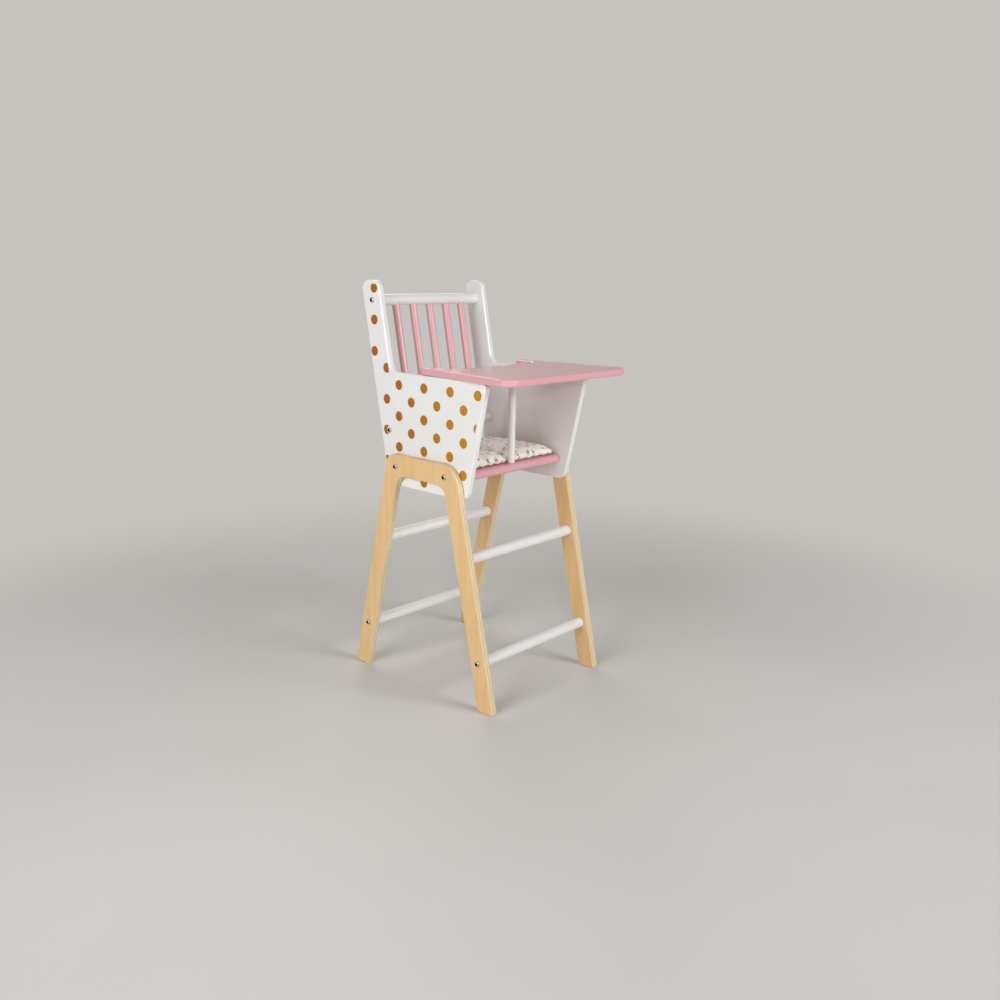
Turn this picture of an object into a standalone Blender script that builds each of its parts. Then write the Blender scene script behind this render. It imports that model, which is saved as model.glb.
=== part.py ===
"""A wooden high chair for a doll.

Two lacquered side panels stand between two ply leg frames, each bent round
like an upside-down U.  A seat board, two back rails and four rungs tie the
sides together.  Five spindles fill the back.  The crotch post stands in the
seat board.  The tray drops over it and over four pegs in the arms, and lifts
off again.  A loose pad lies on the seat.

Metres.  +Z is up, the chair faces -Y, and +X is to the right of a viewer who
looks at the chair from the front.
"""

import math

import bmesh
import bpy
from mathutils import Matrix, Vector

# Clearances and edges
fit_gap = 0.0003
cut_overrun = 0.0020
panel_edge_round = 0.0016
ply_edge_round = 0.0009
tray_edge_round = 0.0028
dowel_end_round = 0.0006
arc_step = math.radians(11.0)
dowel_sides = 24
spindle_sides = 16
screw_sides = 12

# Seat board, the level that the rest is measured from
seat_height = 0.3164
seat_thickness = 0.0118
seat_length = 0.1405
seat_rear_inset = 0.0110
seat_rear_radius = 0.0020
seat_nose_share = 0.49

# Side panels
panel_thickness = 0.0088
inner_half_width = 0.0972
panel_drop = 0.0234
arm_rise = 0.1223
post_rise = 0.1215
arm_length = 0.2159
post_depth = 0.0358
back_edge_at_arm = 0.1128
back_rake = math.radians(11.0)
front_rake = math.radians(11.9)
post_top_radius = 0.0120
arm_fillet_radius = 0.0190
arm_front_radius = 0.0080
panel_foot_radius = 0.0150

# Leg frames
frame_thickness = 0.0100
frame_rise = 0.0113
frame_bar_depth = 0.0295
leg_width = 0.0275
leg_splay = math.radians(12.7)
foot_half_spread = 0.1260
frame_front_radius = 0.0330
frame_rear_radius = 0.0190
frame_inner_radius = 0.0190
foot_radius = 0.0020
front_screw_inset = 0.0095
rear_screw_inset = 0.0070

# Round stock
rung_radius = 0.00775
spindle_radius = 0.00525
lower_rung_height = 0.0667
upper_rung_height = 0.2032
upper_rung_socket = 0.0050
top_rail_drop = 0.0267
low_rail_rise = 0.0414
back_rail_setback = 0.0182
spindle_count = 5
spindle_pitch = 0.0322
spindle_socket = 0.0045

# Tray, its pegs and the crotch post
tray_thickness = 0.0095
tray_length = 0.1780
tray_setback = 0.0570
tray_tip_inset = 0.0030
tray_flare = 0.0235
tray_arm_width = 0.0170
belly_depth = 0.0440
tray_front_radius = 0.0180
tray_tip_radius = 0.0050
belly_radius = 0.0200
post_setback = 0.0097
spigot_radius = 0.0030
spigot_length = 0.0060
peg_radius = 0.0025
peg_in_tray = 0.0055
peg_in_arm = 0.0120
front_peg_inset = 0.0180
rear_peg_inset = 0.0340

# Screws with domed hexagon-socket heads
screw_radius = 0.0020
screw_tip_length = 0.0030
screw_length = 0.0350
head_radius = 0.0039
head_rim = 0.0008
head_rise = 0.0019
socket_half_across = 0.0020
socket_depth = 0.0012

# Seat pad: two filled lobes with a stitched channel between them
pad_side_clearance = 0.0017
pad_front_inset = 0.0060
pad_back_clearance = 0.0015
pad_thickness = 0.0165
pad_seam_height = 0.0072
pad_stitched_thickness = 0.0040
pad_stitched_height = 0.0060
pad_edge_roll = 0.0140
pad_channel_half = 0.0100
pad_post_clearance = 0.0012
pad_corner_ear = 0.0030
pad_swell_share = 0.18
pad_columns = 30
pad_rows = 18

# Worked-out levels
seat_bottom = seat_height - seat_thickness
seat_middle = seat_height - seat_thickness / 2
panel_bottom = seat_bottom - panel_drop
arm_height = seat_height + arm_rise
post_top = arm_height + post_rise
frame_top = seat_height + frame_rise
top_rail_height = post_top - top_rail_drop
low_rail_height = seat_height + low_rail_rise
tray_bottom = arm_height + fit_gap

# Worked-out places across the chair
panel_outer = inner_half_width + panel_thickness
frame_inner = panel_outer + fit_gap
frame_outer = frame_inner + frame_thickness
peg_x = inner_half_width + panel_thickness / 2
tray_rear_half = panel_outer - tray_tip_inset
tray_front_half = tray_rear_half + tray_flare
pad_half_width = inner_half_width - pad_side_clearance

# Worked-out places from front to back
low_rail_y = back_edge_at_arm - (arm_height - low_rail_height) * math.tan(back_rake) - back_rail_setback
seat_rear = back_edge_at_arm - arm_rise * math.tan(back_rake) - seat_rear_inset
seat_front = seat_rear - seat_length
frame_middle = (seat_front + seat_rear) / 2
front_foot = frame_middle - foot_half_spread
rear_foot = frame_middle + foot_half_spread
tray_rear = back_edge_at_arm - post_depth - tray_setback
tray_front = tray_rear - tray_length
post_y = seat_front + post_setback
front_peg_y = back_edge_at_arm - arm_length + front_peg_inset
rear_peg_y = tray_rear - rear_peg_inset
pad_front = seat_front + pad_front_inset
pad_rear = low_rail_y - rung_radius - pad_back_clearance
foot_rounding = foot_radius / math.tan((math.radians(90.0) - leg_splay) / 2) - foot_radius
centre_shift = -(tray_front + rear_foot + leg_width / 2 - foot_rounding) / 2

# Colours and finishes: colour, roughness, metallic
FINISHES = {
    "white_lacquer": ((0.86, 0.86, 0.83), 0.34, 0.0),
    "pink_lacquer": ((0.86, 0.42, 0.50), 0.34, 0.0),
    "birch_ply": ((0.82, 0.58, 0.32), 0.48, 0.0),
    "bright_steel": ((0.72, 0.73, 0.75), 0.22, 1.0),
    "cotton": ((0.88, 0.87, 0.84), 0.90, 0.0),
    "bare_beech": ((0.80, 0.60, 0.38), 0.60, 0.0),
}


def clear_scene():
    for item in list(bpy.data.objects):
        bpy.data.objects.remove(item, do_unlink=True)
    for mesh in list(bpy.data.meshes):
        bpy.data.meshes.remove(mesh)


def material(name):
    """One material for each piece, from the named finish."""
    colour, roughness, metallic = FINISHES[name]
    made = bpy.data.materials.new(name)
    made.use_nodes = True
    shader = made.node_tree.nodes["Principled BSDF"]
    shader.inputs["Base Color"].default_value = (*colour, 1.0)
    shader.inputs["Roughness"].default_value = roughness
    shader.inputs["Metallic"].default_value = metallic
    made.diffuse_color = (*colour, 1.0)
    return made


def add_object(name, mesh, finish, place=(0, 0, 0), turn=(0, 0, 0), parent=None):
    made = bpy.data.objects.new(name, mesh)
    bpy.context.scene.collection.objects.link(made)
    made.location = place
    made.rotation_euler = turn
    made.parent = parent
    if finish:
        mesh.materials.clear()
        mesh.materials.append(material(finish))
    mesh.shade_smooth()
    mesh.set_sharp_from_angle(angle=math.radians(35.0))
    return made


def finish_mesh(name, shape):
    """Turn a closed bmesh into a mesh whose faces point out."""
    bmesh.ops.recalc_face_normals(shape, faces=shape.faces)
    mesh = bpy.data.meshes.new(name)
    shape.to_mesh(mesh)
    shape.free()
    return mesh


# Outlines

def rounded_outline(corners):
    """Points round a closed outline of (u, v, radius) corners, arcs included."""
    points = []
    total = len(corners)
    for place, (u, v, radius) in enumerate(corners):
        here = Vector((u, v))
        back = (Vector(corners[place - 1][:2]) - here).normalized()
        ahead = (Vector(corners[(place + 1) % total][:2]) - here).normalized()
        opening = back.angle(ahead)
        reach = radius / math.tan(opening / 2)
        start = here + back * reach
        centre = here + (back + ahead).normalized() * (radius / math.sin(opening / 2))
        swing = (start - centre).angle_signed(here + ahead * reach - centre)
        steps = max(1, math.ceil(abs(swing) / arc_step))
        for step in range(steps + 1):
            arm = Matrix.Rotation(-swing * step / steps, 2) @ (start - centre)
            points.append(centre + arm)
    return points


def plate_mesh(name, outline, low, high, place_point):
    """A plate between the levels low and high; place_point gives (x, y, z)."""
    shape = bmesh.new()
    near = [shape.verts.new(place_point(u, v, low)) for u, v in outline]
    cap = shape.faces.new(near)
    grown = bmesh.ops.extrude_face_region(shape, geom=[cap])
    moved = [item for item in grown["geom"] if isinstance(item, bmesh.types.BMVert)]
    travel = Vector(place_point(0, 0, high)) - Vector(place_point(0, 0, low))
    bmesh.ops.translate(shape, verts=moved, vec=travel)
    return finish_mesh(name, shape)


def side_point(y, z, x):
    return (x, y, z)


def flat_point(x, y, z):
    return (x, y, z)


def ease_edges(piece, width, segments=2):
    """Round over the rims of a plate with a bevel that spares its arcs."""
    bevel = piece.modifiers.new("eased_edges", "BEVEL")
    bevel.width = width
    bevel.segments = segments
    bevel.limit_method = "ANGLE"
    bevel.angle_limit = math.radians(60.0)


# Round pieces

def turned_mesh(name, profile, sides):
    """Spin a (radius, height) profile round Z; its ends are closed by fans."""
    shape = bmesh.new()
    rings = []
    for radius, height in profile:
        ring = []
        for side in range(sides):
            turn = math.tau * side / sides
            ring.append(shape.verts.new((radius * math.cos(turn), radius * math.sin(turn), height)))
        rings.append(ring)
    bridge_rings(shape, rings)
    shape.faces.new(rings[0])
    shape.faces.new(rings[-1])
    return finish_mesh(name, shape)


def bridge_rings(shape, rings):
    for lower, upper in zip(rings, rings[1:]):
        for side in range(len(lower)):
            following = (side + 1) % len(lower)
            shape.faces.new((lower[side], lower[following], upper[following], upper[side]))


def dowel_profile(radius, length):
    """A dowel along Z from its middle, with eased ends."""
    half = length / 2
    inner = radius - dowel_end_round
    return [
        (inner, -half),
        (radius, -half + dowel_end_round),
        (radius, half - dowel_end_round),
        (inner, half),
    ]


def dowel_mesh(name, radius, length, sides):
    return turned_mesh(name, dowel_profile(radius, length), sides)


# Cuts

def bore(spots, radius, sides):
    """One cutter of plain round holes; each spot is (start, end) of an axis."""
    shape = bmesh.new()
    for start, end in spots:
        run = Vector(end) - Vector(start)
        turn = Vector((0, 0, 1)).rotation_difference(run.normalized()).to_matrix().to_4x4()
        place = Matrix.Translation((Vector(start) + Vector(end)) / 2) @ turn
        bmesh.ops.create_cone(
            shape,
            cap_ends=True,
            segments=sides,
            radius1=radius,
            radius2=radius,
            depth=run.length,
            matrix=place,
        )
    return finish_mesh("bore", shape)


def cut(piece, cutter_mesh, parent):
    cutter = add_object(piece.name + "_cutter", cutter_mesh, None, parent=parent)
    cutter.hide_render = True
    cutter.display_type = "WIRE"
    opening = piece.modifiers.new("holes", "BOOLEAN")
    opening.operation = "DIFFERENCE"
    opening.solver = "EXACT"
    opening.object = cutter


# Lines that the side pieces share

def back_line(z):
    """Rear edge of a side panel at height z."""
    return back_edge_at_arm + (z - arm_height) * math.tan(back_rake)


def front_line(z):
    """Front edge of a side panel at height z."""
    return back_edge_at_arm - arm_length - (z - arm_height) * math.tan(front_rake)


def front_leg_centre(z):
    return front_foot + z * math.tan(leg_splay)


def rear_leg_centre(z):
    return rear_foot - z * math.tan(leg_splay)


def rail_centre(z):
    """Back rails and spindles lie in one raked plane inside the posts."""
    return back_line(z) - back_rail_setback


# Side panels and leg frames

def panel_outline():
    post_front_top = back_line(post_top) - post_depth
    post_front_arm = back_line(arm_height) - post_depth
    return rounded_outline([
        (back_line(panel_bottom), panel_bottom, panel_foot_radius),
        (back_line(post_top), post_top, post_top_radius),
        (post_front_top, post_top, post_top_radius),
        (post_front_arm, arm_height, arm_fillet_radius),
        (front_line(arm_height), arm_height, arm_front_radius),
        (front_line(panel_bottom), panel_bottom, panel_foot_radius),
    ])


def frame_outline():
    underside = frame_top - frame_bar_depth
    half = leg_width / 2
    return rounded_outline([
        (front_leg_centre(0) - half, 0, foot_radius),
        (front_leg_centre(0) + half, 0, foot_radius),
        (front_leg_centre(underside) + half, underside, frame_inner_radius),
        (rear_leg_centre(underside) - half, underside, frame_inner_radius),
        (rear_leg_centre(0) - half, 0, foot_radius),
        (rear_leg_centre(0) + half, 0, foot_radius),
        (rear_leg_centre(frame_top) + half, frame_top, frame_rear_radius),
        (front_leg_centre(frame_top) - half, frame_top, frame_front_radius),
    ])


def frame_screw_spots():
    front = front_leg_centre(seat_middle) + front_screw_inset
    rear = rear_leg_centre(seat_middle) - rear_screw_inset
    return [(front, seat_middle), (rear, seat_middle)]


def rail_screw_spots():
    return [(rail_centre(z), z) for z in (low_rail_height, top_rail_height)]


def rung_screw_spots():
    z = lower_rung_height
    return [(front_leg_centre(z), z), (rear_leg_centre(z), z)]


def side_panels(parent):
    hole = screw_radius + fit_gap
    for name, side in (("left", -1), ("right", 1)):
        mesh = plate_mesh(name, panel_outline(), side * inner_half_width, side * panel_outer, side_point)
        panel = add_object(name + "_side_panel", mesh, "white_lacquer", parent=parent)
        ease_edges(panel, panel_edge_round)
        screws = frame_screw_spots() + rail_screw_spots()
        inside = side * (inner_half_width - cut_overrun)
        outside = side * (panel_outer + cut_overrun)
        through = [((inside, y, z), (outside, y, z)) for y, z in screws]
        cut(panel, bore(through, hole, screw_sides), parent)
        floor = arm_height - peg_in_arm - fit_gap
        lid = arm_height + cut_overrun
        sockets = [((side * peg_x, y, floor), (side * peg_x, y, lid)) for y in (front_peg_y, rear_peg_y)]
        cut(panel, bore(sockets, peg_radius + fit_gap, screw_sides), parent)


def leg_frames(parent):
    for name, side in (("left", -1), ("right", 1)):
        mesh = plate_mesh(name, frame_outline(), side * frame_inner, side * frame_outer, side_point)
        frame = add_object(name + "_leg_frame", mesh, "birch_ply", parent=parent)
        ease_edges(frame, ply_edge_round, 1)
        screws = frame_screw_spots() + rung_screw_spots()
        inside = side * (frame_inner - cut_overrun)
        outside = side * (frame_outer + cut_overrun)
        through = [((inside, y, z), (outside, y, z)) for y, z in screws]
        cut(frame, bore(through, screw_radius + fit_gap, screw_sides), parent)
        z = upper_rung_height
        bottom = side * (frame_inner + upper_rung_socket + fit_gap)
        sockets = [((inside, y, z), (bottom, y, z)) for y in (front_leg_centre(z), rear_leg_centre(z))]
        cut(frame, bore(sockets, rung_radius + fit_gap, dowel_sides), parent)


# Cross pieces

def cross_dowel(name, y, z, half_length, parent):
    mesh = dowel_mesh(name, rung_radius, 2 * half_length, dowel_sides)
    return add_object(name, mesh, "white_lacquer", (0, y, z), (0, math.radians(90.0), 0), parent)


def screw_pockets(spots, half_length, reach):
    """Blind holes in both ends of a cross piece, past the screw's tip."""
    pockets = []
    for y, z in spots:
        for side in (-1, 1):
            outer = side * (half_length + cut_overrun)
            inner = side * (reach - screw_length - fit_gap)
            pockets.append(((inner, y, z), (outer, y, z)))
    return bore(pockets, screw_radius + fit_gap, screw_sides)


def rungs(parent):
    lower_half = frame_inner - fit_gap
    upper_half = frame_inner + upper_rung_socket
    for name, centre in (("front", front_leg_centre), ("rear", rear_leg_centre)):
        z = lower_rung_height
        rung = cross_dowel(name + "_lower_rung", centre(z), z, lower_half, parent)
        cut(rung, screw_pockets([(centre(z), z)], lower_half, frame_outer), parent)
        z = upper_rung_height
        cross_dowel(name + "_upper_rung", centre(z), z, upper_half, parent)


def back_direction():
    return Vector((0, math.sin(back_rake), math.cos(back_rake)))


def spindle_places():
    first = -(spindle_count - 1) / 2
    return [(first + index) * spindle_pitch for index in range(spindle_count)]


def back_rails(parent):
    half = inner_half_width - fit_gap
    up = back_direction()
    seat_depth = rung_radius - spindle_socket - fit_gap
    for name, z, way in (("top_rail", top_rail_height, -1), ("lower_back_rail", low_rail_height, 1)):
        centre = Vector((0, rail_centre(z), z))
        rail = cross_dowel(name, centre.y, z, half, parent)
        cut(rail, screw_pockets([(centre.y, z)], half, panel_outer), parent)
        sockets = []
        for x in spindle_places():
            foot = centre + Vector((x, 0, 0)) + up * way * seat_depth
            mouth = centre + Vector((x, 0, 0)) + up * way * (rung_radius + cut_overrun)
            sockets.append((foot, mouth))
        cut(rail, bore(sockets, spindle_radius + fit_gap, spindle_sides), parent)


def back_spindles(parent):
    top = Vector((0, rail_centre(top_rail_height), top_rail_height))
    low = Vector((0, rail_centre(low_rail_height), low_rail_height))
    length = (top - low).length - 2 * (rung_radius - spindle_socket)
    mesh = dowel_mesh("spindle", spindle_radius, length, spindle_sides)
    for index, x in enumerate(spindle_places()):
        place = (top + low) / 2 + Vector((x, 0, 0))
        name = "back_spindle_" + str(index + 1)
        add_object(name, mesh.copy(), "pink_lacquer", place, (-back_rake, 0, 0), parent)


def seat_board(parent):
    nose = seat_thickness * seat_nose_share
    outline = rounded_outline([
        (seat_front, seat_bottom, nose),
        (seat_rear, seat_bottom, seat_rear_radius),
        (seat_rear, seat_height, seat_rear_radius),
        (seat_front, seat_height, nose),
    ])
    half = inner_half_width - fit_gap
    mesh = plate_mesh("seat_board", outline, -half, half, side_point)
    board = add_object("seat_board", mesh, "pink_lacquer", parent=parent)
    cut(board, screw_pockets(frame_screw_spots(), half, frame_outer), parent)
    floor = seat_height - spigot_length - fit_gap
    mouth = seat_height + cut_overrun
    socket = bore([((0, post_y, floor), (0, post_y, mouth))], spigot_radius + fit_gap, spindle_sides)
    cut(board, socket, parent)


# Screws

def hexagon_radius(turn, across):
    """Distance from a hexagon's middle to its rim; across is its width over flats."""
    sixth = math.tau / 6
    offset = (turn + sixth / 2) % sixth - sixth / 2
    return across / 2 / math.cos(offset)


def screw_mesh():
    """A screw along Z: its head's seat at zero, its tip below."""
    tip = -screw_length
    profile = [
        (screw_radius / 2, tip, False),
        (screw_radius, tip + screw_tip_length, False),
        (screw_radius, 0, False),
        (head_radius, 0, False),
        (head_radius, head_rim, False),
        ((head_radius + socket_half_across) / 2, head_rise, False),
        (socket_half_across, head_rise, True),
        (socket_half_across, head_rise - socket_depth, True),
    ]
    shape = bmesh.new()
    rings = []
    for radius, height, is_socket in profile:
        ring = []
        for step in range(screw_sides):
            turn = math.tau * step / screw_sides
            reach = hexagon_radius(turn, 2 * radius) if is_socket else radius
            ring.append(shape.verts.new((reach * math.cos(turn), reach * math.sin(turn), height)))
        rings.append(ring)
    bridge_rings(shape, rings)
    shape.faces.new(rings[0])
    shape.faces.new(rings[-1])
    return finish_mesh("screw", shape)


def screw_pair(name, spot, outer, parent):
    """The same screw in the left and the right side of the chair."""
    y, z = spot
    mesh = screw_mesh()
    for side_name, side in (("left", -1), ("right", 1)):
        place = (side * (outer + fit_gap), y, z)
        turn = (0, side * math.radians(90.0), 0)
        add_object(side_name + "_" + name, mesh.copy(), "bright_steel", place, turn, parent)


def screws(parent):
    for end, spot in zip(("front", "rear"), frame_screw_spots()):
        screw_pair(end + "_frame_screw", spot, frame_outer, parent)
    for end, spot in zip(("front", "rear"), rung_screw_spots()):
        screw_pair(end + "_rung_screw", spot, frame_outer, parent)
    for end, spot in zip(("low", "top"), rail_screw_spots()):
        screw_pair(end + "_rail_screw", spot, panel_outer, parent)


# Tray, its pegs and the crotch post

def tray_outline():
    """Half of the plan, front to belly, and its mirror image."""
    tip_inner = tray_rear_half - tray_arm_width
    belly = tray_rear - belly_depth
    right = [
        (tray_front_half, tray_front, tray_front_radius),
        (tray_rear_half, tray_rear, tray_tip_radius),
        (tip_inner, tray_rear, tray_tip_radius),
        (tip_inner, belly, belly_radius),
    ]
    left = [(-x, y, radius) for x, y, radius in reversed(right)]
    return rounded_outline(right + left)


def tray(parent):
    mesh = plate_mesh("tray", tray_outline(), 0, tray_thickness, flat_point)
    board = add_object("tray", mesh, "pink_lacquer", (0, 0, 0), parent=parent)
    ease_edges(board, tray_edge_round)
    peg_spots = [
        ((side * peg_x, y, -cut_overrun), (side * peg_x, y, peg_in_tray + fit_gap))
        for side in (-1, 1)
        for y in (front_peg_y, rear_peg_y)
    ]
    cut(board, bore(peg_spots, peg_radius + fit_gap, screw_sides), parent)
    post_spot = [((0, post_y, -cut_overrun), (0, post_y, spigot_length + fit_gap))]
    cut(board, bore(post_spot, spigot_radius + fit_gap, spindle_sides), parent)


def tray_pegs(parent):
    length = peg_in_tray + peg_in_arm
    middle = (peg_in_tray - peg_in_arm) / 2
    mesh = dowel_mesh("peg", peg_radius, length, screw_sides)
    for side_name, side in (("left", -1), ("right", 1)):
        for end, y in (("front", front_peg_y), ("rear", rear_peg_y)):
            name = side_name + "_" + end + "_tray_peg"
            add_object(name, mesh.copy(), "bare_beech", (side * peg_x, y, middle), parent=parent)


def crotch_post(parent):
    """A turned post with a spigot at each end; its shoulders meet seat and tray."""
    top = tray_bottom - fit_gap
    bottom = seat_height + fit_gap
    profile = [
        (spigot_radius - dowel_end_round, bottom - spigot_length),
        (spigot_radius, bottom - spigot_length + dowel_end_round),
        (spigot_radius, bottom),
        (spindle_radius, bottom),
        (spindle_radius, top),
        (spigot_radius, top),
        (spigot_radius, top + spigot_length - dowel_end_round),
        (spigot_radius - dowel_end_round, top + spigot_length),
    ]
    mesh = turned_mesh("crotch_post", profile, spindle_sides)
    add_object("crotch_post", mesh, "white_lacquer", (0, post_y, 0), parent=parent)


# Seat pad

def pad_channel(x):
    """Bell curve that is 1 on the stitched middle line."""
    return math.exp(-((x / pad_channel_half) ** 2))


def pad_plan(u, v):
    """Plan point from shares across (-1 to 1) and from front (-1) to rear (1)."""
    x = u * (pad_half_width - pad_corner_ear * (1 - v ** 4))
    notch = post_y + spindle_radius + pad_post_clearance - pad_front
    front = pad_front + notch * pad_channel(x) + pad_corner_ear * (1 - u ** 4)
    rear = pad_rear - pad_corner_ear * (1 - u ** 4)
    return x, front + (rear - front) * (1 + v) / 2


def pad_roll(u, v):
    """Share of the filling: nothing on the seam, all of it past the edge roll."""
    share = 1.0
    for place, half in ((u, pad_half_width), (v, (pad_rear - pad_front) / 2)):
        inward = min(1.0, (1 - abs(place)) * half / pad_edge_roll)
        share *= math.sqrt(1 - (1 - inward) ** 2)
    return share


def pad_skins(u, v):
    """Heights of the top and the underside over the seat at a plan point."""
    filling = pad_roll(u, v)
    swell = 1 - pad_swell_share * (u * u + v * v) / 2
    stitched = pad_channel(u * pad_half_width) * filling
    top = pad_seam_height + (pad_thickness * swell - pad_seam_height) * filling
    low = pad_seam_height * (1 - filling)
    stitched_top = pad_stitched_height + pad_stitched_thickness / 2
    stitched_low = pad_stitched_height - pad_stitched_thickness / 2
    top += (stitched_top - top) * stitched
    low += (stitched_low - low) * stitched
    return top, low


def seat_pad(parent):
    """Two skins that meet at a seam a little above the seat."""
    shape = bmesh.new()
    skins = {}
    for row in range(pad_rows + 1):
        v = 2 * row / pad_rows - 1
        for column in range(pad_columns + 1):
            u = 2 * column / pad_columns - 1
            x, y = pad_plan(u, v)
            top, low = pad_skins(u, v)
            upper = shape.verts.new((x, y, top))
            on_seam = row in (0, pad_rows) or column in (0, pad_columns)
            lower = upper if on_seam else shape.verts.new((x, y, low))
            skins[row, column] = (upper, lower)
    for row in range(pad_rows):
        for column in range(pad_columns):
            ring = ((row, column), (row, column + 1), (row + 1, column + 1), (row + 1, column))
            for skin in (0, 1):
                shape.faces.new([skins[spot][skin] for spot in ring])
    mesh = finish_mesh("seat_pad", shape)
    add_object("seat_cushion", mesh, "cotton", parent=parent)


def anchor(name, place, parent=None):
    """An empty that carries the pieces of one body."""
    made = bpy.data.objects.new(name, None)
    bpy.context.scene.collection.objects.link(made)
    made.location = place
    made.parent = parent
    return made


def build():
    clear_scene()
    chair = anchor("chair", (0, centre_shift, 0))
    side_panels(chair)
    leg_frames(chair)
    rungs(chair)
    back_rails(chair)
    back_spindles(chair)
    seat_board(chair)
    crotch_post(chair)
    screws(chair)
    tray_lift = anchor("tray_lift", (0, 0, tray_bottom), chair)
    tray(tray_lift)
    tray_pegs(tray_lift)
    pad_lift = anchor("pad_lift", (0, 0, seat_height + fit_gap), chair)
    seat_pad(pad_lift)


build()
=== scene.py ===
"""Looks of the doll high chair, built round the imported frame.

Metres.  +Z is up, the chair faces -Y.  Left is the side at -X.
"""

import math
import random

import bmesh
import bpy
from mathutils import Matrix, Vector

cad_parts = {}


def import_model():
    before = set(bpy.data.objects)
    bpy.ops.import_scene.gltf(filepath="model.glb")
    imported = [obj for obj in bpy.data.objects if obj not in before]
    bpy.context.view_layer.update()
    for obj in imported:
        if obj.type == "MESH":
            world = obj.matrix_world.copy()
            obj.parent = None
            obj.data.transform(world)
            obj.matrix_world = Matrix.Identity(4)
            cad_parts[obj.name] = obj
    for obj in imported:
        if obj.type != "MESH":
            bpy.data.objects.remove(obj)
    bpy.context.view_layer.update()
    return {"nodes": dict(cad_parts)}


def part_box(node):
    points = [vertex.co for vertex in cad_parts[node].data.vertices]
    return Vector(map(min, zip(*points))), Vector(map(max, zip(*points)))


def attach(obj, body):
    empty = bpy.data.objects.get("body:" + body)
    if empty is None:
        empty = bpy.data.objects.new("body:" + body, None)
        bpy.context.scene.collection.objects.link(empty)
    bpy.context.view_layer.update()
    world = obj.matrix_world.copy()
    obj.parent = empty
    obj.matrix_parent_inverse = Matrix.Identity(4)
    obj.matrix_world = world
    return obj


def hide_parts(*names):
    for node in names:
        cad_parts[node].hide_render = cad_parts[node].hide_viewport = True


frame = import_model()

# Sizes repeated from the construction
centre_shift = 0.0054855
arm_height = 0.4387
back_edge_at_arm = 0.1128 + centre_shift
back_rake = math.radians(11.0)
front_rake = math.radians(11.9)
arm_length = 0.2159
post_depth = 0.0358
rail_screw = (0.078874 + centre_shift, 0.3578)
crotch_post_radius = 0.00525

# Polka dots on the outer faces: two lattices, half a pitch apart
dot_radius = 0.00675
dot_soft_edge = 0.00012
dot_pitch_y = 0.0493
dot_pitch_z = 0.0427
dot_start = (0.0106 + centre_shift, 0.4219)
rear_margin = 0.0022
front_margin = 0.0050
post_margin = 0.0030
end_margin = 0.0050
print_corner = 0.0050
least_dot_inset = 0.0025
arm_fillet = 0.0190
arm_fillet_centre = (0.06134 + centre_shift, 0.4577)
screw_halo = 0.0058
dot_waver = 0.00008
print_fade = (0.0004, 0.0002)
# Painted reflection: over this span of y the dots' ink runs from gold at the front to copper at the rear,
# standing in for sheen
painted_sheen_span = (-0.09, 0.11)
ink_metallic = 0.7
ink_relief = 0.00003


def srgb(red, green, blue):
    """Linear colour from the 0 to 255 values that a picture shows."""
    def linear(value):
        share = value / 255
        return share / 12.92 if share <= 0.04045 else ((share + 0.055) / 1.055) ** 2.4
    return (linear(red), linear(green), linear(blue), 1.0)


# Materials

# Part of a noise's range that a ramp is spread over
noise_span = (0.3, 0.7)

# Sockets of a mix node that belong to colours
mix_first, mix_second, mix_result = 6, 7, 2


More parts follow.
